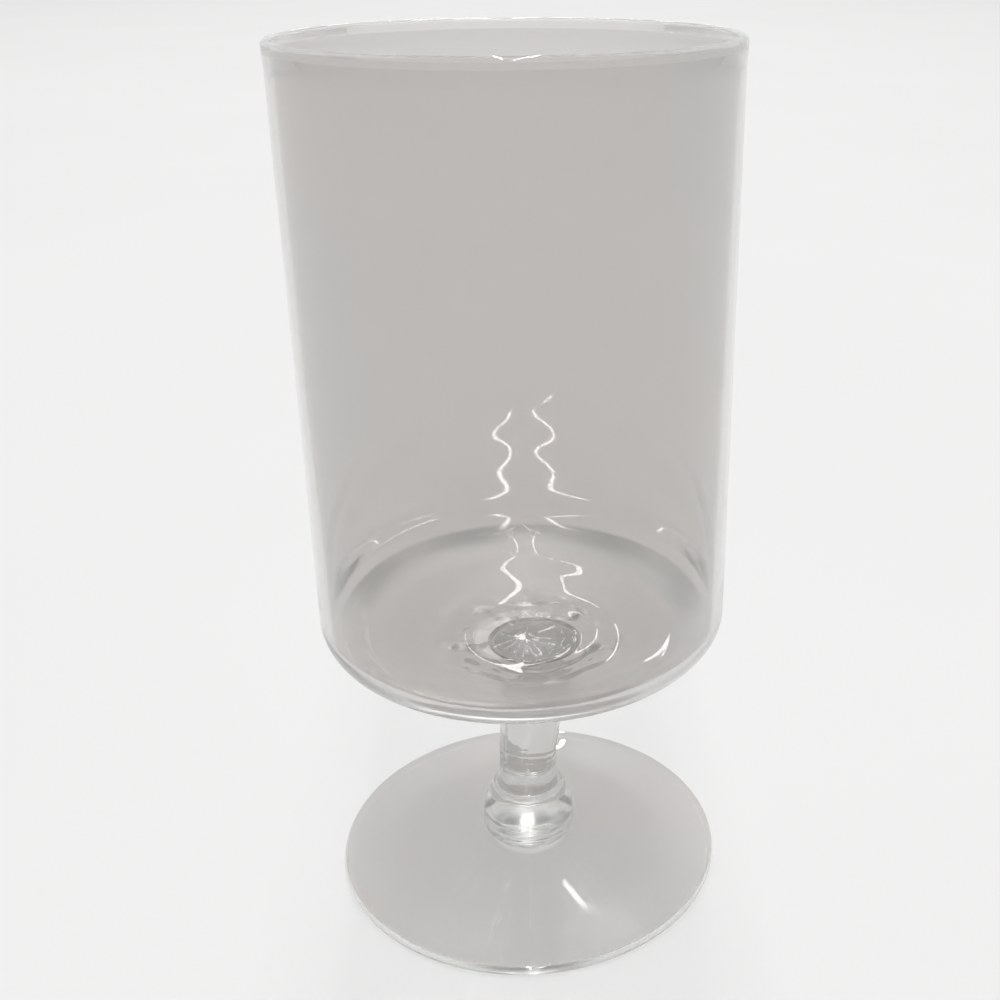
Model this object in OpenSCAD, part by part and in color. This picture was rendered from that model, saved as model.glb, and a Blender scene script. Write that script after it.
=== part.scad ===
// Stemmed liqueur glass in clear glass: a straight-sided bowl on a short drawn stem,
// a bell-shaped knop and a flat round foot, fused end to end. Sizes are in millimetres.
// The origin is the middle of the surface that the foot stands on, with +Z up the axis.

/* [Bowl] */
// Outside diameter of the straight side
bowl_d = 45; // [40:0.5:56]
// Height from the seat on the stem to the rim
bowl_h = 66.3; // [45:0.1:90]
// Wall thickness at the rounded rim
rim_wall = 0.7; // [0.5:0.05:1.2]
// Wall thickness just above the heel
base_wall = 1; // [0.8:0.05:1.6]
// Radius of the heel outside
heel_r = 3.4; // [2.4:0.1:5]
// Radius of the heel inside
heel_in_r = 2.6; // [2:0.1:5]
// Radius of the domed underside
dome_r = 60; // [50:1:100]
// Thickness of the floor over the stem
floor_t = 1.4; // [1:0.1:2.6]
// Thickness of the floor where it turns up into the heel
floor_edge_t = 1.3; // [0.9:0.1:2]

/* [Stem] */
// Length between the knop and the bowl
stem_l = 17.6; // [12:0.1:40]
// Diameter at the neck, where the stem is thinnest
neck_d = 6.7; // [5:0.1:8.5]
// Radius of the long sweep that widens the stem upwards
stem_sweep_r = 130; // [90:1:400]
// Radius of the fillet under the bowl
stem_fillet_r = 1; // [0.5:0.1:2.5]

/* [Knop] */
// Largest diameter
knop_d = 11; // [9.5:0.1:15]
// Height of the largest diameter above the foot
knop_belly_h = 1.4; // [0.6:0.1:1.5]
// Radius of the rounding under the largest diameter
knop_round_r = 1.6; // [1.5:0.1:2.6]
// Radius of the bell's side above the largest diameter
knop_side_r = 10.5; // [8:0.5:20]
// Radius of the bell's upper edge
knop_edge_r = 0.8; // [0.5:0.1:1.5]
// Lean of the bell inwards, in degrees, where its upper edge meets the neck's fillet
knop_lean = 65; // [50:1:80]
// Radius of the hollow fillet at the neck
neck_fillet_r = 1.1; // [0.6:0.1:2]

/* [Foot] */
// Diameter
foot_d = 45; // [36:0.5:60]
// Thickness at the rounded edge
foot_edge_t = 1.2; // [0.9:0.1:2.2]
// Height of the seat under the knop
foot_h = 2.8; // [2.5:0.1:5]
// Depth of the hollow under the middle
foot_hollow = 1.2; // [0.4:0.1:1.6]
// Radius at which the hollow's sides turn over into its round middle
foot_crown_r = 5; // [3:0.5:9]
// Width of the flat ring that stands on the table
foot_rest_w = 2.2; // [1:0.1:5]

/* [Hidden] */
$fn = 128;
// Straight steps that make up one arc of a profile
arc_steps = 20;
clear_glass = [0.78, 0.78, 0.77, 0.45];

// Radius of an arc that leaves one line square and is off by the rise after the run
function sweep_radius(run, rise) = (run * run + rise * rise) / (2 * rise);

// Points along an arc, with angles counted from the radial direction
function arc(middle, radius, start, end) =
    [for (i = [0:arc_steps])
        let (angle = start + (end - start) * i / arc_steps)
        middle + radius * [cos(angle), sin(angle)]];

// Knop: a tight rounding below the largest diameter, and above it the bell's side, which turns
// over its upper edge into the hollow fillet and so runs out into the neck
neck_r = neck_d / 2;
belly_r = knop_d / 2;
round_turn = asin(knop_belly_h / knop_round_r);
knop_base_r = belly_r - knop_round_r * (1 - cos(round_turn));
bell_waste = neck_fillet_r - (knop_edge_r + neck_fillet_r) * cos(knop_lean);
side_turn = acos((neck_r - belly_r + knop_side_r + bell_waste) / (knop_side_r - knop_edge_r));
side_middle = [belly_r - knop_side_r, knop_belly_h];
edge_turn_middle = side_middle + (knop_side_r - knop_edge_r) * [cos(side_turn), sin(side_turn)];
neck_middle = edge_turn_middle + (knop_edge_r + neck_fillet_r) * [cos(knop_lean), sin(knop_lean)];
knop_h = neck_middle[1];

// Heights at which the pieces are fused together
knop_z = foot_h;
stem_z = knop_z + knop_h;
bowl_z = stem_z + stem_l;

// Stem: the long sweep runs into the fillet, which ends level with the seat under the bowl
sweep_turn = asin((stem_l - stem_fillet_r) / (stem_sweep_r - stem_fillet_r));
sweep_middle = [neck_r + stem_sweep_r, 0];
seat_r = sweep_middle[0] - (stem_sweep_r - stem_fillet_r) * cos(sweep_turn);
fillet_middle = [seat_r, stem_l - stem_fillet_r];

// Bowl outside: the dome starts at the edge of the seat and turns up through the heel
bowl_r = bowl_d / 2;
dome_middle = [0, sqrt(dome_r * dome_r - seat_r * seat_r)];
dome_slope = asin((bowl_r - heel_r) / (dome_r - heel_r));
heel_middle = [bowl_r - heel_r, dome_middle[1] - (dome_r - heel_r) * cos(dome_slope)];

// Bowl inside: a dish that follows the dome and thins a little from the stem to the heel
heel_in_x = bowl_r - base_wall - heel_in_r;
dome_edge_z = dome_middle[1] - sqrt(dome_r * dome_r - heel_in_x * heel_in_x);
floor_r = sweep_radius(heel_in_x, dome_edge_z + floor_edge_t - floor_t);
floor_middle = [0, floor_t + floor_r];
floor_slope = asin(heel_in_x / (floor_r - heel_in_r));
heel_in_middle = [heel_in_x, floor_middle[1] - (floor_r - heel_in_r) * cos(floor_slope)];
rim_r = rim_wall / 2;
rim_middle = [bowl_r - rim_r, bowl_h - rim_r];

// Foot: flat where it rests, swept up to the knop on top, and hollow underneath to keep one thickness
edge_r = foot_edge_t / 2;
edge_middle = [foot_d / 2 - edge_r, edge_r];
hollow_edge_r = edge_middle[0] - foot_rest_w;
hollow_turn = 2 * atan(foot_hollow / hollow_edge_r);
crown_arc_r = foot_crown_r / sin(hollow_turn);
hollow_side_r = (hollow_edge_r - foot_crown_r) / sin(hollow_turn);
top_run = edge_middle[0] - knop_base_r;
top_sweep_r = sweep_radius(top_run, foot_h - foot_edge_t);
top_turn = asin(top_run / top_sweep_r);

// One piece of the glass, turned from half of its outline
module turned(outline) {
    color(clear_glass)
        rotate_extrude()
            polygon(outline);
}

module bowl() {
    translate([0, 0, bowl_z])
        turned(concat(
            [[0, 0]],
            arc(dome_middle, dome_r, asin(seat_r / dome_r) - 90, dome_slope - 90),
            arc(heel_middle, heel_r, dome_slope - 90, 0),
            arc(rim_middle, rim_r, 0, 180),
            arc(heel_in_middle, heel_in_r, 0, floor_slope - 90),
            arc(floor_middle, floor_r, floor_slope - 90, -90)
        ));
}

module stem() {
    translate([0, 0, stem_z])
        turned(concat(
            [[0, 0]],
            arc(sweep_middle, stem_sweep_r, 180, 180 - sweep_turn),
            arc(fillet_middle, stem_fillet_r, 180 - sweep_turn, 90),
            [[0, stem_l]]
        ));
}

module knop() {
    translate([0, 0, knop_z])
        turned(concat(
            [[0, 0]],
            arc([belly_r - knop_round_r, knop_belly_h], knop_round_r, -round_turn, 0),
            arc(side_middle, knop_side_r, 0, side_turn),
            arc(edge_turn_middle, knop_edge_r, side_turn, knop_lean),
            arc(neck_middle, neck_fillet_r, 180 + knop_lean, 180),
            [[0, knop_h]]
        ));
}

module foot() {
    turned(concat(
        arc([0, foot_hollow - crown_arc_r], crown_arc_r, 90, 90 - hollow_turn),
        arc([hollow_edge_r, hollow_side_r], hollow_side_r, -90 - hollow_turn, -90),
        arc(edge_middle, edge_r, -90, 90),
        arc([edge_middle[0], foot_edge_t + top_sweep_r], top_sweep_r, -90, -90 - top_turn),
        [[0, foot_h]]
    ));
}

bowl();
stem();
knop();
foot();
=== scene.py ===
import math

import bmesh
import bpy
from mathutils import Matrix, Vector


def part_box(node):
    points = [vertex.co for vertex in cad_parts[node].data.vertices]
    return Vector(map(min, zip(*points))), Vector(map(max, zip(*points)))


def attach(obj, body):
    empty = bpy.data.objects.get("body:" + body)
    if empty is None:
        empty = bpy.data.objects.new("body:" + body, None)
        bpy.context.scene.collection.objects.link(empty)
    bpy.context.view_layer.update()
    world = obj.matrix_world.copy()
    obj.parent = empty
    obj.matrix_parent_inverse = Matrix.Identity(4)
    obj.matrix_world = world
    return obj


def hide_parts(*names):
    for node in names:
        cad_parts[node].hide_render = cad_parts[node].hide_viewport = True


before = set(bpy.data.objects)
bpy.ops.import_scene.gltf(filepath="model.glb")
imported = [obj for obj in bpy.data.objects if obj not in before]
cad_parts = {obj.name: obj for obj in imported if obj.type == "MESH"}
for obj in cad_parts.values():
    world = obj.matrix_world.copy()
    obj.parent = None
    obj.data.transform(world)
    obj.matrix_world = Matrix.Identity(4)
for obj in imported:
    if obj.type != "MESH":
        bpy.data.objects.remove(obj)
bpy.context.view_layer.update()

# Foot: a round disc of clear soda-lime glass that the whole glass stands on. It is dropped hot on
# the end of the stem, spun flat and fire-polished, so the edge is round, the top climbs a little
# towards the middle and only a ring near the edge touches the table.
mm = 0.001
_, foot_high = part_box("foot")
foot_r = foot_high.x
foot_h = foot_high.z
foot_edge_t = 1.2 * mm
foot_hollow = 1.2 * mm
foot_crown_r = 5 * mm
foot_rest_w = 2.2 * mm
foot_ring_h = 0.002 * mm
foot_ring_l = 3.1 * mm
foot_swell_h = 0.02 * mm
# painted light: the foot's tint is left out within this radius, under the knop, so the stem seen through
# the bowl floor reads lighter
foot_painted_light_r = 4 * mm
knop_base_r = 4.675 * mm
turn_steps = 224
same_place = 0.002 * mm
same_level = 0.001 * mm

thin_warm = (0.770, 0.732, 0.720, 1)
thin_cool = (0.724, 0.735, 0.729, 1)
# painted shade: the dark tint of the band along the far heel of the bowl
painted_heel_shade = (0.34, 0.345, 0.33, 1)
depth_tint = (0.81, 0.85, 0.82, 1)
depth_density = 12.0
no_tint = (1, 1, 1, 1)
painted_light_edge_w = 0.5 * mm
glass_ior = 1.52
lamp_share = 0.5
trapped_bounces = 12
foot_dull = 0.004
speck_dull = 0.012
rub_dull = 0.05
scuff_dull = 0.07
rub_full_z = 0.03 * mm
rub_end_z = 0.16 * mm


def sweep_radius(run, rise):
    """Radius of an arc that leaves one line square and is off by the rise after the run."""
    return (run * run + rise * rise) / (2 * rise)


def start_outline(bm, x, z):
    return bm.verts.new((x, 0, z))


def line_to(bm, last, x, z, steps=1):
    """Carries an outline straight on from its last point, and returns the new last point."""
    step = (Vector((x, 0, z)) - last.co) / steps
    for _ in range(steps):
        grown = bmesh.ops.extrude_vert_indiv(bm, verts=[last])
        last = grown["verts"][0]
        bmesh.ops.translate(bm, verts=[last], vec=step)
    return last


def arc_on(bm, last, x, z, turn, steps):
    """Carries an outline on along an arc about a middle, and returns the new last point."""
    bent = bmesh.ops.spin(
        bm, geom=[last], cent=(x, 0, z), axis=(0, -1, 0), angle=turn, steps=steps
    )
    return next(g for g in bent["geom_last"] if isinstance(g, bmesh.types.BMVert))


def turn_outline(bm, seats):
    """Turns a half outline into a closed piece, and opens the flat seats it is fused by to light."""
    bmesh.ops.spin(
        bm, geom=bm.verts[:] + bm.edges[:], cent=(0, 0, 0), axis=(0, 0, 1),
        angle=math.tau, steps=turn_steps, use_merge=True,
    )
    bmesh.ops.remove_doubles(bm, verts=bm.verts, dist=same_place)
    bmesh.ops.recalc_face_normals(bm, faces=bm.faces)
    open_share = bm.faces.layers.float.new("open_share")
    for face in bm.faces:
        face.smooth = True
        flat_at = [z for z in seats if all(abs(v.co.z - z) < same_level for v in face.verts)]
        face[open_share] = 1.0 if flat_at else 0.0
    for edge in bm.edges:
        edge.smooth = len({face[open_share] for face in edge.link_faces}) == 1


def fade(value, low, high):
    """Climbs smoothly from 0 at the low value to 1 at the high value."""
    share = min(max((value - low) / (high - low), 0), 1)
    return share * share * (3 - 2 * share)


def band(value, start, full, ebb, end):
    """Climbs from 0 at the start to 1 where it is full, and falls from the ebb to 0 at the end."""
    return fade(value, start, full) * (1 - fade(value, ebb, end))


def uneven(bm, swell):
    """Moves every point of a piece along its normal, for the small waves that hand work leaves."""
    bm.normal_update()
    shifts = []
    for v in bm.verts:
        turn = math.atan2(v.co.y, v.co.x)
        shifts.append(v.normal * swell(v.co, v.co.xy.length, turn))
    for v, shift in zip(bm.verts, shifts):
        v.co += shift


class Finish:
    """An output of a material's node, with arithmetic that adds Math nodes."""

    def __init__(self, tree, socket=None):
        self.tree = tree
        self.socket = socket

    def node(self, kind, settings, inputs, output=0):
        """Adds a node, with its settings first and then the values or links of its inputs."""
        new = self.tree.nodes.new("ShaderNode" + kind)
        for name, value in settings.items():
            setattr(new, name, value)
        for name, value in inputs.items():
            if isinstance(value, Finish):
                self.tree.links.new(value.socket, new.inputs[name])
            else:
                new.inputs[name].default_value = value
        return Finish(self.tree, new.outputs[output])

    def beside(self, output):
        """Another output of the same node."""
        return Finish(self.tree, self.socket.node.outputs[output])

    def math(self, operation, first, second):
        return self.node("Math", {"operation": operation}, {0: first, 1: second})

    def climb(self, value, low, high, start, end):
        """Goes straight from the start, at the low value, to the end, at the high value."""
        limits = {"From Min": low, "From Max": high, "To Min": start, "To Max": end}
        return self.node("MapRange", {}, {"Value": value, **limits})

    def blend(self, share, first, second):
        """Mixes two colours, with the share of the second."""
        return self.node("Mix", {"data_type": "RGBA"}, {0: share, 6: first, 7: second}, 2)

    def __add__(self, other):
        return self.math("ADD", self, other)

    __radd__ = __add__

    def __mul__(self, other):
        return self.math("MULTIPLY", self, other)

    __rmul__ = __mul__

    def __sub__(self, other):
        return self.math("SUBTRACT", self, other)

    def __rsub__(self, other):
        return self.math("SUBTRACT", other, self)


def off_axis(new, place):
    """The square of the distance from the axis of the glass."""
    aside = new.node("SeparateXYZ", {}, {"Vector": place}, "X")
    along = aside.beside("Y")
    return aside * aside + along * along


def glass_tint(new, place, warm_tint, cool_tint, painted_light_r):
    """Warm and cool patches, with painted light where the tint is left out over the solid stem and
    painted shade, a much darker tint, along the far heel.
    """
    patches = new.node("TexNoise", {}, {"Vector": place, "Scale": 30.0, "Detail": 2.0})
    # painted light: no tint within this radius of the axis, only a lighter look where the stem is seen
    # through
    painted_light_end = painted_light_r + painted_light_edge_w
    tinted = new.climb(off_axis(new, place), painted_light_r ** 2, painted_light_end ** 2, 0.0, 1.0)
    tint = new.blend(tinted, no_tint, new.blend(patches, warm_tint, cool_tint))
    # painted shade along the far heel: the tint darkens by its share
    heel_shade = new.node("Attribute", {"attribute_name": "painted_heel_shade_share"}, {}, "Fac")
    return new.blend(heel_shade, tint, painted_heel_shade)


def straight_share(new):
    """The share of light that goes straight on: at open faces, from lamps and after many bounces."""
    opened = new.node("Attribute", {"attribute_name": "open_share"}, {}, "Fac")
    from_lamp = new.node("LightPath", {}, {}, "Is Shadow Ray")
    freed = new.math("GREATER_THAN", from_lamp.beside("Ray Depth"), trapped_bounces)
    return new.math("MAXIMUM", new.math("MAXIMUM", opened, from_lamp * lamp_share), freed)


def clear_glass(name, warm_tint, cool_tint, painted_light_r, haze, wave):
    """Clear glass with its own haze and waves, tinted a little at its skin and through its depth, with
    the painted light and painted shade of its tint.
    """
    material = bpy.data.materials.new(name)
    material.use_nodes = True
    tree = material.node_tree
    tree.nodes.clear()
    new = Finish(tree)
    place = new.node("TexCoord", {}, {}, "Object")
    height = wave(new, place)
    normal = new.node("Bump", {}, {"Strength": 1.0, "Distance": 1.0, "Height": height})
    glass = new.node(
        "BsdfPrincipled",
        {},
        {
            "Base Color": glass_tint(new, place, warm_tint, cool_tint, painted_light_r),
            "Roughness": haze(new, place),
            "IOR": glass_ior,
            "Transmission Weight": 1.0,
            "Normal": normal,
        },
    )
    open_way = new.node("BsdfTransparent", {}, {"Color": no_tint})
    surface = new.node("MixShader", {}, {0: straight_share(new), 1: glass, 2: open_way})
    depth = new.node("VolumeAbsorption", {}, {"Color": depth_tint, "Density": depth_density})
    out = tree.nodes.new("ShaderNodeOutputMaterial")
    tree.links.new(surface.socket, out.inputs["Surface"])
    tree.links.new(depth.socket, out.inputs["Volume"])
    return material


def foot_haze(new, place):
    """Faint specks all over, and fine scuffs underneath, where the foot rubs on tables."""
    specks = new.node("TexNoise", {}, {"Vector": place, "Scale": 180.0, "Detail": 3.0})
    scuffs = new.node("TexNoise", {}, {"Vector": place, "Scale": 900.0, "Detail": 4.0})
    height = new.node("SeparateXYZ", {}, {"Vector": place}, "Z")
    rubbed = new.climb(height, rub_full_z, rub_end_z, 1.0, 0.0)
    return foot_dull + specks * speck_dull + rubbed * (rub_dull + scuffs * scuff_dull)


def foot_wave(new, place):
    swell = new.node("TexNoise", {}, {"Vector": place, "Scale": 90.0, "Detail": 1.0})
    return swell * foot_swell_h


def foot_swell(point, out, turn):
    """Slow rings of the spinning and a slight twist of the disc, none where it rests or is fused."""
    if point.z < foot_edge_t:
        return 0
    free = band(out, knop_base_r, knop_base_r + 2 * mm, edge_x - 3 * mm, edge_x)
    rings = math.sin(math.tau * out / foot_ring_l)
    twist = math.sin(3 * turn + out / (3 * mm))
    return free * foot_ring_h * (rings + 0.6 * twist)


def finished_piece(name, bm, material, node):
    """Makes the piece from its mesh, in place of its solid."""
    mesh = bpy.data.meshes.new(name)
    bm.to_mesh(mesh)
    bm.free()
    mesh.materials.append(material)
    piece = bpy.data.objects.new(name, mesh)
    bpy.context.scene.collection.objects.link(piece)
    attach(piece, "root")
    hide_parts(node)


edge_r = foot_edge_t / 2
edge_x = foot_r - edge_r
hollow_edge_r = edge_x - foot_rest_w
hollow_turn = 2 * math.atan(foot_hollow / hollow_edge_r)
crown_arc_r = foot_crown_r / math.sin(hollow_turn)
hollow_side_r = (hollow_edge_r - foot_crown_r) / math.sin(hollow_turn)
top_run = edge_x - knop_base_r
top_sweep_r = sweep_radius(top_run, foot_h - foot_edge_t)
top_turn = math.asin(top_run / top_sweep_r)

bm = bmesh.new()
tip = start_outline(bm, 0, foot_hollow)
tip = arc_on(bm, tip, 0, foot_hollow - crown_arc_r, -hollow_turn, 16)
tip = arc_on(bm, tip, hollow_edge_r, hollow_side_r, hollow_turn, 32)
tip = line_to(bm, tip, edge_x, 0, 4)
tip = arc_on(bm, tip, edge_x, edge_r, math.pi, 24)
tip = arc_on(bm, tip, edge_x, foot_edge_t + top_sweep_r, -top_turn, 48)
tip = line_to(bm, tip, 0, foot_h, 2)
turn_outline(bm, [foot_h])
uneven(bm, foot_swell)
foot_glass = clear_glass("foot clear glass", thin_warm, thin_cool, foot_painted_light_r, foot_haze, foot_wave)
finished_piece("foot_disc", bm, foot_glass, "foot")

# Knop: the bell-shaped swelling between the foot and the stem, worked from the same gather of
# clear glass. It is pinched in with the jacks while hot, so it is widest just above the foot.
knop_low, knop_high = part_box("knop")
knop_z = knop_low.z
knop_h = knop_high.z - knop_low.z
belly_r = knop_high.x
belly_h = 1.4 * mm
knop_round_r = 1.6 * mm
knop_side_r = 10.5 * mm
knop_edge_r = 0.8 * mm
knop_lean = math.radians(65)
neck_fillet_r = 1.1 * mm
neck_r = 3.35 * mm
knop_ring_h = 0.014 * mm
knop_ring_l = 0.8 * mm
knop_twist_h = 0.004 * mm
stem_swell_h = 0.015 * mm

solid_warm = (0.73, 0.705, 0.69, 1)
solid_cool = (0.70, 0.71, 0.70, 1)
# no painted light disc in the stem and knop: their tint reaches almost to the axis
solid_painted_light_r = 0
stem_dull = 0.002
spot_dull = 0.006


def stem_haze(new, place):
    spots = new.node("TexNoise", {}, {"Vector": place, "Scale": 240.0, "Detail": 2.0})
    return stem_dull + spots * spot_dull


def stem_wave(new, place):
    swell = new.node("TexNoise", {}, {"Vector": place, "Scale": 160.0, "Detail": 1.0})
    return swell * stem_swell_h


def knop_swell(point, out, turn):
    """Fine rings that the jacks leave round the lower half, and a slow twist of the whole bell."""
    up = point.z - knop_z
    low = band(up, 0, 0.4 * mm, 2.0 * mm, 3.6 * mm)
    body = band(up, 0, 0.8 * mm, knop_h - 1.5 * mm, knop_h)
    rings = math.sin(math.tau * up / knop_ring_l + 0.6 * math.sin(2 * turn))
    rings += 0.5 * math.sin(14 * turn)
    twist = math.sin(5 * turn + up / mm) + 0.6 * math.sin(9 * turn - up / mm)
    return fade(out, neck_r / 2, neck_r) * (low * knop_ring_h * rings + body * knop_twist_h * twist)


round_turn = math.asin(belly_h / knop_round_r)
bell_waste = neck_fillet_r - (knop_edge_r + neck_fillet_r) * math.cos(knop_lean)
side_turn = math.acos((neck_r - belly_r + knop_side_r + bell_waste) / (knop_side_r - knop_edge_r))
side_x = belly_r - knop_side_r
side_z = knop_z + belly_h
edge_turn_x = side_x + (knop_side_r - knop_edge_r) * math.cos(side_turn)
edge_turn_z = side_z + (knop_side_r - knop_edge_r) * math.sin(side_turn)
neck_x = neck_r + neck_fillet_r
neck_z = knop_z + knop_h

bm = bmesh.new()
tip = start_outline(bm, 0, knop_z)
tip = line_to(bm, tip, knop_base_r, knop_z, 2)
tip = arc_on(bm, tip, belly_r - knop_round_r, side_z, round_turn, 28)
tip = arc_on(bm, tip, side_x, side_z, side_turn, 48)
tip = arc_on(bm, tip, edge_turn_x, edge_turn_z, knop_lean - side_turn, 16)
tip = arc_on(bm, tip, neck_x, neck_z, -knop_lean, 20)
tip = line_to(bm, tip, 0, neck_z, 2)
turn_outline(bm, [knop_z, neck_z])
uneven(bm, knop_swell)
stem_glass = clear_glass("stem clear glass", solid_warm, solid_cool, solid_painted_light_r, stem_haze, stem_wave)
finished_piece("knop_bell", bm, stem_glass, "knop")

# Stem: a short solid rod of clear glass drawn down from the bowl while hot. It is thinnest at the
# neck, widens slowly upwards and spreads in a small fillet where it is fused under the bowl.
stem_low, stem_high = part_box("stem")
stem_z = stem_low.z
stem_l = stem_high.z - stem_low.z
stem_sweep_r = 130 * mm
stem_fillet_r = 1.0 * mm
stem_line_h = 0.03 * mm
neck_ring_h = 0.03 * mm
neck_ring_l = 0.9 * mm
stem_lean = 1.2 * mm


def stem_swell(point, out, turn):
    """Faint lines drawn out along the rod as the hot glass was pulled, and jack marks at the neck."""
    up = point.z - stem_z
    body = band(up, 0, 2 * mm, stem_l - 2 * mm, stem_l)
    lines = math.sin(7 * turn + 1.3) + 0.7 * math.sin(12 * turn + up / (6 * mm))
    lines += 0.5 * math.sin(19 * turn)
    marks = band(up, 0, 0.4 * mm, 1.6 * mm, 3.2 * mm) * math.sin(math.tau * up / neck_ring_l)
    return fade(out, neck_r / 2, neck_r) * (body * stem_line_h * lines + neck_ring_h * marks)


def lean(bm, share):
    """Moves the points sideways by their share of the lean, because the stem is a little askew."""
    for v in bm.verts:
        v.co.x += stem_lean * share(v.co, v.co.xy.length)


sweep_turn = math.asin((stem_l - stem_fillet_r) / (stem_sweep_r - stem_fillet_r))
seat_r = neck_r + stem_sweep_r - (stem_sweep_r - stem_fillet_r) * math.cos(sweep_turn)
fillet_z = stem_z + stem_l - stem_fillet_r

bm = bmesh.new()
tip = start_outline(bm, 0, stem_z)
tip = line_to(bm, tip, neck_r, stem_z, 2)
tip = arc_on(bm, tip, neck_r + stem_sweep_r, stem_z, -sweep_turn, 120)
tip = arc_on(bm, tip, seat_r, fillet_z, sweep_turn - math.pi / 2, 14)
tip = line_to(bm, tip, 0, stem_z + stem_l, 2)
turn_outline(bm, [stem_z, stem_z + stem_l])
uneven(bm, stem_swell)
lean(bm, lambda point, out: fade(point.z, stem_z, stem_z + stem_l))
finished_piece("drawn_stem", bm, stem_glass, "stem")

# Bowl: the straight-sided cup, blown thin in clear glass. The rim is cracked off and fire-polished
# to a round edge, and the wall turns through a tight heel into a thin dished floor, whose domed
# underside is fused to the stem.
bowl_low, bowl_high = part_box("bowl")
bowl_z = bowl_low.z
bowl_top = bowl_high.z
bowl_r = bowl_high.x
rim_r = 0.35 * mm
base_wall = 1.0 * mm
heel_r = 3.4 * mm
heel_in_r = 2.6 * mm
dome_r = 60 * mm
floor_t = 1.4 * mm
floor_edge_t = 1.3 * mm
bead_h = 0.10 * mm
bead_z = bowl_top - 0.8 * mm
bead_start_z = bowl_top - 2.2 * mm
bead_open = 0.5
wall_wave_h = 0.014 * mm
wall_ring_h = 0.042 * mm
wall_ring_l = 5.5 * mm
floor_tilt = 0.029
floor_mid_x = 1.9 * mm
flat_floor_r = 17 * mm
ripple_mid = 11.2 * mm
ripple_l = 6.6 * mm
ripple_h = 0.03 * mm
ring_r = 5.6 * mm
ring_w = 0.6 * mm
ring_h = 0.05 * mm
ring_ray_h = 0.012 * mm
petal_r = 12 * mm
petal_l = 3.2 * mm
petal_h = 0.18 * mm
lean_end_r = 16 * mm
heel_thick = 0.9 * mm
bowl_swell_h = 0.02 * mm

# painted light: the bowl's tint is left out over the stem seat, so the ring seen through the floor reads
# lighter
bowl_painted_light_r = 5.4 * mm
bowl_dull = 0.003
smear_dull = 0.010
under_dull = 0.2
under_start_r = 8 * mm
under_full_r = 11 * mm

dome_mid_z = bowl_z + math.sqrt(dome_r ** 2 - seat_r ** 2)
dome_start = math.asin(seat_r / dome_r)
dome_slope = math.asin((bowl_r - heel_r) / (dome_r - heel_r))
heel_mid_z = dome_mid_z - (dome_r - heel_r) * math.cos(dome_slope)
heel_in_x = bowl_r - base_wall - heel_in_r
dome_edge_z = dome_mid_z - math.sqrt(dome_r ** 2 - heel_in_x ** 2)
floor_z = bowl_z + floor_t
floor_r = sweep_radius(heel_in_x, dome_edge_z + floor_edge_t - floor_z)
floor_slope = math.asin(heel_in_x / (floor_r - heel_in_r))
heel_in_z = floor_z + floor_r - (floor_r - heel_in_r) * math.cos(floor_slope)


def bowl_haze(new, place):
    """Faint smears that run down the wall, and the duller underside, which no tool polished."""
    drawn = new.node("VectorMath", {"operation": "MULTIPLY"}, {0: place, 1: (1, 1, 0.15)})
    smears = new.node("TexNoise", {}, {"Vector": drawn, "Scale": 150.0, "Detail": 4.0})
    height = new.node("SeparateXYZ", {}, {"Vector": place}, "Z")
    far_out = off_axis(new, place)
    above_dome = height - bowl_z - far_out * (0.5 / dome_r)
    under = new.climb(above_dome, 0.3 * mm, 0.6 * mm, 1.0, 0.0)
    outer = new.climb(far_out, under_start_r ** 2, under_full_r ** 2, 0.0, 1.0)
    return bowl_dull + smears * smear_dull + under * outer * under_dull


def bowl_wave(new, place):
    swell = new.node("TexNoise", {}, {"Vector": place, "Scale": 55.0, "Detail": 1.0})
    return swell * bowl_swell_h


def is_inside(point, out):
    """Whether a point of the bowl is on its inner side."""
    mid_floor_z = bowl_z + floor_t / 2 + out * out / (2 * dome_r)
    return out < bowl_r - base_wall / 2 and point.z > mid_floor_z


def wall_waves(point, turn):
    """Long slow waves of the blown wall, and rings low on its far half that swell like beads."""
    slow = math.sin(3 * turn + point.z / (9 * mm)) + 0.5 * math.sin(8 * turn - point.z / (14 * mm))
    rings = math.sin(math.tau * (point.z - bowl_z) / wall_ring_l)
    low_far = (1 - fade(point.z, bowl_z + 24 * mm, bowl_z + 34 * mm)) * fade(math.sin(turn), 0, 0.6)
    beads = low_far * math.cos(12 * (turn - math.pi / 2)) * rings
    free = band(point.z, bowl_z + 8 * mm, bowl_z + 16 * mm, bowl_top - 3 * mm, bowl_top)
    return free * (wall_wave_h * slow + wall_ring_h * beads)


def floor_ripples(point, out):
    """Ripples of the floor, about a middle that lies a little off the axis."""
    free = band(out, 4 * mm, 8 * mm, heel_in_x - 1 * mm, heel_in_x + 2 * mm)
    off_middle = math.hypot(point.x - floor_mid_x, point.y)
    return free * ripple_h * math.sin(math.tau * (off_middle - ripple_mid) / ripple_l)


def floor_ring(out, turn):
    """A low ridge over the edge of the stem, and faint rays inside it."""
    rays = band(out, 0.8 * mm, 2.5 * mm, 5 * mm, 6 * mm)
    rays *= math.sin(14 * turn + 2 * math.sin(3 * turn))
    return ring_ray_h * rays + ring_h * math.exp(-((out - ring_r) / ring_w) ** 2)


def far_heel(point, out, turn):
    """The thicker glass that gathered in the far half of the heel."""
    far_half = fade(math.sin(turn), -0.1, 0.35)
    outer = fade(out, heel_in_x - 3 * mm, heel_in_x + 1 * mm)
    return heel_thick * far_half * outer * (1 - fade(point.z, heel_in_z, heel_in_z + 3 * mm))


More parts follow.
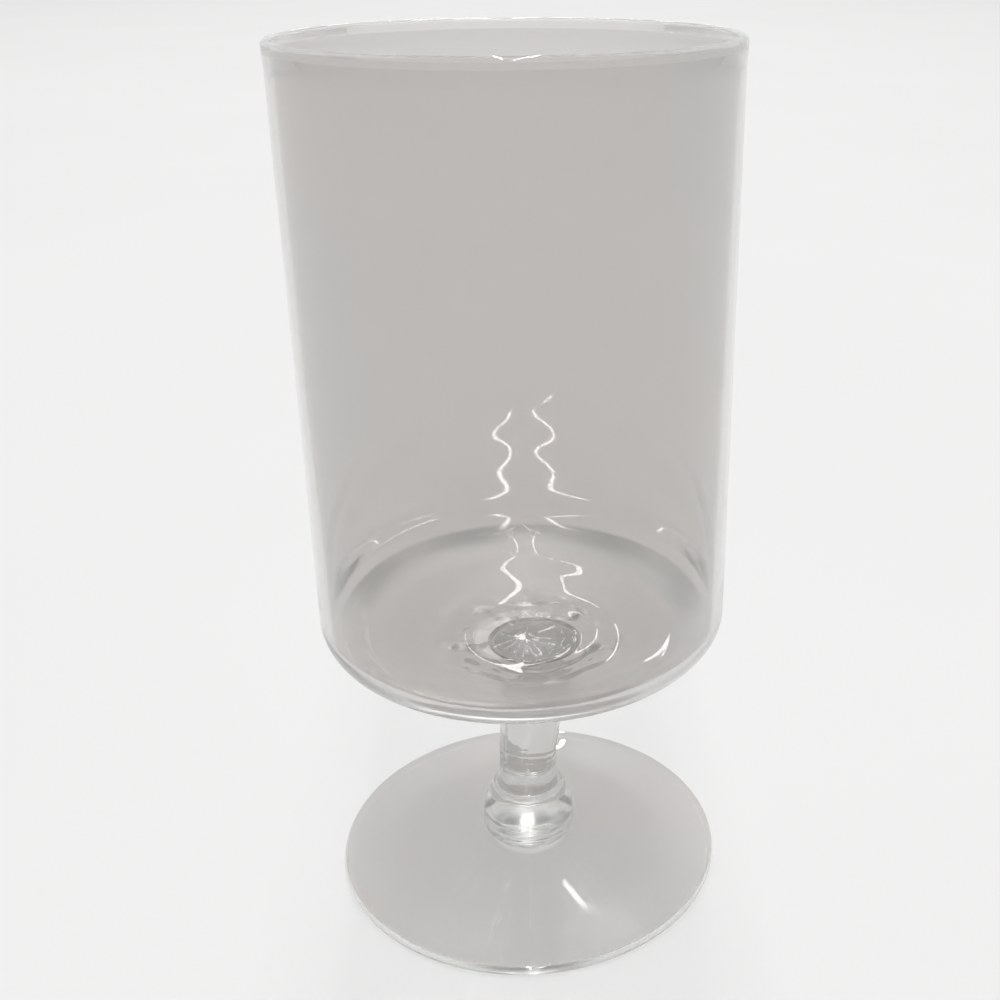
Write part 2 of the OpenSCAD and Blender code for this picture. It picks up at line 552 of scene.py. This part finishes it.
def far_heel_painted_shade(point, out, turn):
    """Share of painted shade, a dark band in the tint where the far half of the floor turns up into the
    heel.
    """
    far_half = fade(point.y, -4 * mm, 6 * mm) * (0.8 + 0.2 * math.sin(7 * turn + 1))
    outer = fade(out, heel_in_x - 2.5 * mm, heel_in_x + 0.6 * mm)
    return far_half * outer * (1 - fade(point.z, heel_in_z - 1.8 * mm, heel_in_z - 1.1 * mm))


def stem_petals(out, turn):
    """Petals and folds of the underside, which the hot stem pulled out round its seat."""
    pulled = band(out, seat_r, seat_r + 1 * mm, petal_r - 4 * mm, petal_r)
    petals = math.sin(6 * turn + out / (4 * mm)) + 0.6 * math.sin(11 * turn - out / (3 * mm))
    folds = math.sin(math.tau * (out - seat_r) / petal_l + math.sin(5 * turn))
    return pulled * petal_h * (petals + folds)


def bowl_swell(point, out, turn):
    """The bead of the rim, and the unevenness of the inside or of the underside."""
    bead = bead_h * fade(point.z, bead_start_z, bead_z)
    if not is_inside(point, out):
        return bead + stem_petals(out, turn)
    floor = floor_ripples(point, out) + floor_ring(out, turn) + far_heel(point, out, turn)
    return bead + wall_waves(point, turn) + floor


bm = bmesh.new()
tip = start_outline(bm, 0, bowl_z)
tip = line_to(bm, tip, seat_r, bowl_z, 3)
tip = arc_on(bm, tip, 0, dome_mid_z, dome_slope - dome_start, 32)
tip = arc_on(bm, tip, bowl_r - heel_r, heel_mid_z, math.pi / 2 - dome_slope, 24)
tip = line_to(bm, tip, bowl_r, bowl_top - rim_r, 30)
tip = arc_on(bm, tip, bowl_r - rim_r, bowl_top - rim_r, math.pi, 16)
tip = line_to(bm, tip, heel_in_x + heel_in_r, heel_in_z, 90)
tip = arc_on(bm, tip, heel_in_x, heel_in_z, floor_slope - math.pi / 2, 28)
tip = arc_on(bm, tip, 0, floor_z + floor_r, -floor_slope, 64)
turn_outline(bm, [bowl_z])
# Painted shade: a dark band in the tint along the far heel, away from the camera, kept per point as its
# share.
painted_heel_shade_share = bm.verts.layers.float.new("painted_heel_shade_share")
for v in bm.verts:
    if is_inside(v.co, v.co.xy.length):
        v[painted_heel_shade_share] = far_heel_painted_shade(v.co, v.co.xy.length, math.atan2(v.co.y, v.co.x))
uneven(bm, bowl_swell)
open_share = bm.faces.layers.float["open_share"]
for face in bm.faces:
    if face.calc_center_median().z > bead_z:
        face[open_share] = bead_open
for v in bm.verts:
    out = v.co.xy.length
    if is_inside(v.co, out):
        v.co.z -= floor_tilt * v.co.x * (1 - fade(out, flat_floor_r, bowl_r - base_wall))
lean(bm, lambda point, out: 0 if is_inside(point, out) else 1 - fade(out, seat_r, lean_end_r))
bowl_glass = clear_glass("bowl clear glass", thin_warm, thin_cool, bowl_painted_light_r, bowl_haze, bowl_wave)
finished_piece("blown_bowl", bm, bowl_glass, "bowl")

# Table: a plain pale sheet with faint clouds, on which the glass stands. It looks as even from
# every side, and in and through the glass, as it does from above, and it keeps a soft shadow. Its
# slight polish, dull where the foot stands, shows in and through the glass alone.
table_size = 12.0
table_gap = 0.03 * mm
table_light = (0.88, 0.877, 0.873, 1)
table_dark = (0.84, 0.837, 0.833, 1)
table_even_share = 0.6
table_gloss = 0.04
polish_dull = 0.03
polish_start_r = foot_r
polish_full_r = 1.2 * foot_r

bm = bmesh.new()
bmesh.ops.create_grid(bm, x_segments=4, y_segments=4, size=table_size / 2)
bmesh.ops.translate(bm, verts=bm.verts, vec=(0, 0, -table_gap))
table_mesh = bpy.data.meshes.new("table")
bm.to_mesh(table_mesh)
bm.free()

sheet = bpy.data.materials.new("pale sheet")
sheet.use_nodes = True
sheet.node_tree.nodes.clear()
new = Finish(sheet.node_tree)
seen = new.node("LightPath", {}, {}, "Is Camera Ray")
in_glass = new.math("MAXIMUM", seen.beside("Is Glossy Ray"), seen.beside("Is Transmission Ray"))
looked_at = new.math("MAXIMUM", seen, in_glass)
place = new.node("TexCoord", {}, {}, "Object")
clouds = new.node("TexNoise", {}, {"Vector": place, "Scale": 6.0, "Detail": 3.0})
shade = new.blend(clouds, table_light, table_dark)
matte = new.node("BsdfDiffuse", {}, {"Color": shade})
even = new.node("Emission", {}, {"Color": shade})
plain = new.node("MixShader", {}, {0: looked_at * table_even_share, 1: matte, 2: even})
polish = new.node("BsdfAnisotropic", {}, {"Roughness": polish_dull})
gloss = new.climb(off_axis(new, place), polish_start_r ** 2, polish_full_r ** 2, 0.0, table_gloss)
surface = new.node("MixShader", {}, {0: gloss * (1 - seen), 1: plain, 2: polish})
out = sheet.node_tree.nodes.new("ShaderNodeOutputMaterial")
sheet.node_tree.links.new(surface.socket, out.inputs["Surface"])
table_mesh.materials.append(sheet)
table = bpy.data.objects.new("table", table_mesh)
bpy.context.scene.collection.objects.link(table)

# Light: a plain room that is dim on the near side, brighter above and behind, and pale near the
# horizon, with two rows of thin tube lamps under its ceiling that run away from the camera. Each
# row is two tubes end to end.
room_dim = 0.12
room_bright = 0.38
room_low = -0.45
room_high = 0.75
room_up = 0.8
room_back = 0.6
room_pale = 0.8
pale_low = 0.28
pale_high = 0.45
tube_w = 0.013
tube_z = 1.6
tube_rows = {"left": -0.05, "right": 0.11}
tube_runs = {"near": (-2.5, 2.05), "far": (2.53, 4.4)}
watts_per_metre = 3.62

room = bpy.data.worlds.new("room")
room.use_nodes = True
new = Finish(room.node_tree)
way = new.node("TexCoord", {}, {}, "Generated")
up = new.node("SeparateXYZ", {}, {"Vector": way}, "Z")
open_side = up * room_up + up.beside("Y") * room_back
graded = new.climb(open_side, room_low, room_high, room_dim, room_bright)
pale = new.climb(up, pale_low, pale_high, 1.0, 0.0)
shade = graded + pale * (room_pale - graded)
room.node_tree.links.new(shade.socket, room.node_tree.nodes["Background"].inputs["Color"])
bpy.context.scene.world = room
for row, x in tube_rows.items():
    for run, (start, end) in tube_runs.items():
        lamp = bpy.data.lights.new(row + "_" + run + "_tube", "AREA")
        lamp.shape = "RECTANGLE"
        lamp.size = tube_w
        lamp.size_y = end - start
        lamp.energy = watts_per_metre * lamp.size_y
        tube = bpy.data.objects.new(lamp.name, lamp)
        tube.location = (x, (start + end) / 2, tube_z)
        bpy.context.scene.collection.objects.link(tube)

# Camera: close to the glass, a little above the rim and looking down at it. Light may bounce often
# enough to find its way out of the glass.
image_px = 1000
lens_px = 1276.6
axis_px = 586.8
sensor_w = 36
camera_y = -127.0 * mm
camera_z = 103.8 * mm
near_clip = 5 * mm
pitch = 0.4254
yaw = 0.0574
roll = 0.0047
light_bounces = 64

lens = bpy.data.cameras.new("camera")
lens.sensor_width = sensor_w
lens.lens = sensor_w * lens_px / image_px
lens.shift_x = (image_px / 2 - axis_px) / image_px
lens.clip_start = near_clip
camera = bpy.data.objects.new("camera", lens)
camera.matrix_world = (
    Matrix.Translation((0, camera_y, camera_z))
    @ Matrix.Rotation(-yaw, 4, "Z")
    @ Matrix.Rotation(math.pi / 2 - pitch, 4, "X")
    @ Matrix.Rotation(-roll, 4, "Z")
)
bpy.context.scene.collection.objects.link(camera)
bpy.context.scene.camera = camera
bpy.context.scene.view_settings.view_transform = "Standard"
bpy.context.scene.cycles.max_bounces = light_bounces
bpy.context.scene.cycles.glossy_bounces = light_bounces
bpy.context.scene.cycles.transmission_bounces = light_bounces
